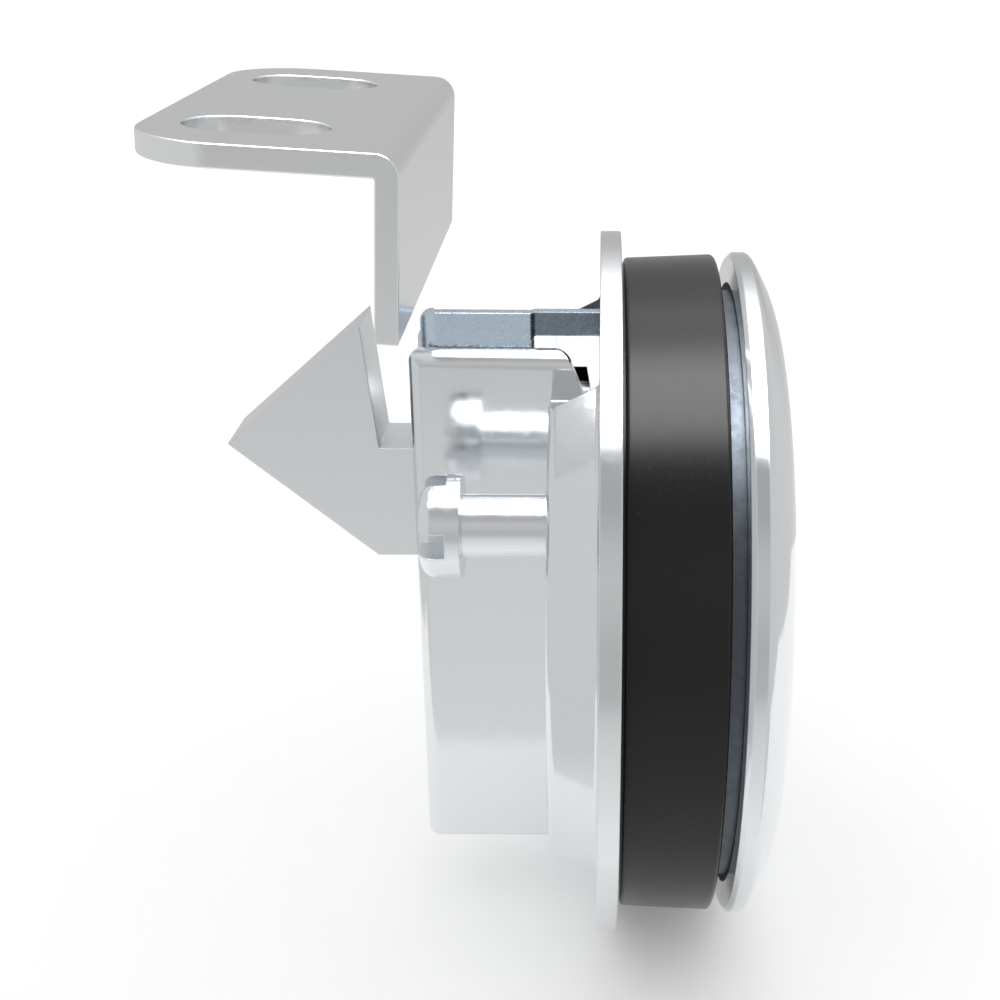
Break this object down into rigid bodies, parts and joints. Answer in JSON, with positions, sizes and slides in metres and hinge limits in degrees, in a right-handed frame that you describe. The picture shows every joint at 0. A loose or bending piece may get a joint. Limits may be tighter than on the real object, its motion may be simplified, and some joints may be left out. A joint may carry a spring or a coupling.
{
  "type": "push-to-close latch",
  "caption": "Flush round push-to-close latch: pull paddle in a domed bezel, black spacer ring, narrow rear housing with a sprung triangular bolt, and a slotted angle strike.",
  "frame": {"origin": "centre of the bezel's back face, which seats on the front of the panel, on the latch's round axis", "axes": "+X out of the panel towards the user, +Z towards the strike, +Y across the bolt's thickness"},
  "size_m": [0.056, 0.072, 0.085],
  "materials": {
    "polished": "polished",
    "housing": "polished, slightly softened",
    "black_ring": "matt",
    "satin_steel": "satin",
    "strike_steel": "satin with bright edges",
    "arm_steel": "plated, slightly grainy",
    "fastener": "bright plated",
    "spring_wire": "drawn wire",
    "brass": "machined",
    "rubber": "matt"
  },
  "bodies": {
    "housing": {"bezel": "polished", "spacer_ring": "black_ring", "rear_housing": "housing", "bolt_spring_front": "spring_wire", "bolt_spring_rear": "spring_wire", "guide_pin_front": "fastener", "guide_pin_rear": "fastener", "retainer_plate": "arm_steel", "retainer_screws": "fastener", "clamp_screws": "fastener", "thread_inserts": "brass", "paddle_pin": "fastener", "pin_clips": "spring_wire", "paddle_spring_near": "spring_wire", "paddle_spring_far": "spring_wire", "paddle_bumper": "rubber", "strike": "strike_steel"},
    "paddle": {"paddle": "polished", "release_arm": "arm_steel", "arm_rivets": "fastener"},
    "bolt": {"bolt": "satin_steel", "contact_pin": "fastener"}
  },
  "joints": [
    {"name": "paddle_hinge", "type": "hinge", "parent": "housing", "child": "paddle", "pos_m": [-0.004, 0, 0.016], "axis": [0, -1, 0], "range_deg": [0, 20], "stiffness_Nm_per_rad": 0.12, "springref_deg": -28.65, "deforming": ["paddle_spring_near", "paddle_spring_far"]},
    {"name": "bolt_slide", "type": "slide", "parent": "housing", "child": "bolt", "axis": [0, 0, -1], "range_m": [0, 0.0075], "stiffness_N_per_m": 10, "springref_m": -0.01, "deforming": ["bolt_spring_front", "bolt_spring_rear"]}
  ],
  "couplings": [
    {"joint": "bolt_slide", "follows": "paddle_hinge", "m_per_rad": 0.0206}
  ]
}
